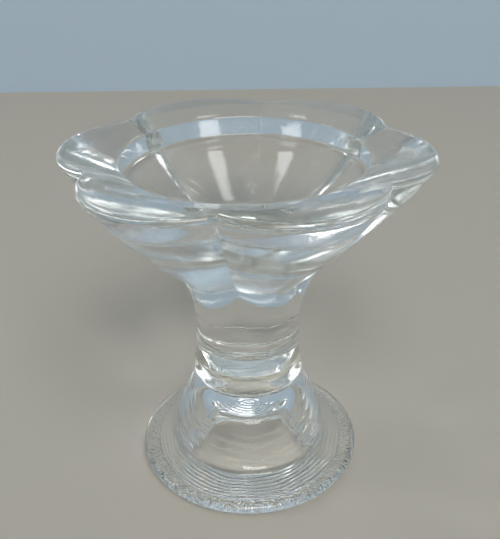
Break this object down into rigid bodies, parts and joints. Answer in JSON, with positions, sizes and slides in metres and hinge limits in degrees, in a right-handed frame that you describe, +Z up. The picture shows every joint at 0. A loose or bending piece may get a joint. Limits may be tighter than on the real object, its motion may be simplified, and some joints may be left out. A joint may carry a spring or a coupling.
{
  "type": "tealight holder",
  "caption": "Clear pressed-glass tealight holder: a shallow petal-edged bowl with a round seat, on a short stem with a collar and a hollow bell foot.",
  "frame": {"origin": "centre of the foot's underside, on the surface that the holder stands on", "axes": "+Z up along the stem, +X out along the middle of one petal"},
  "size_m": [0.061, 0.057, 0.06],
  "materials": {
    "pressed_glass": "clear pressed soda-lime glass, fire-polished, faintly rippled under the foot"
  },
  "bodies": {
    "root": {"bowl": "pressed_glass", "stem": "pressed_glass", "collar": "pressed_glass", "foot": "pressed_glass"}
  },
  "joints": []
}
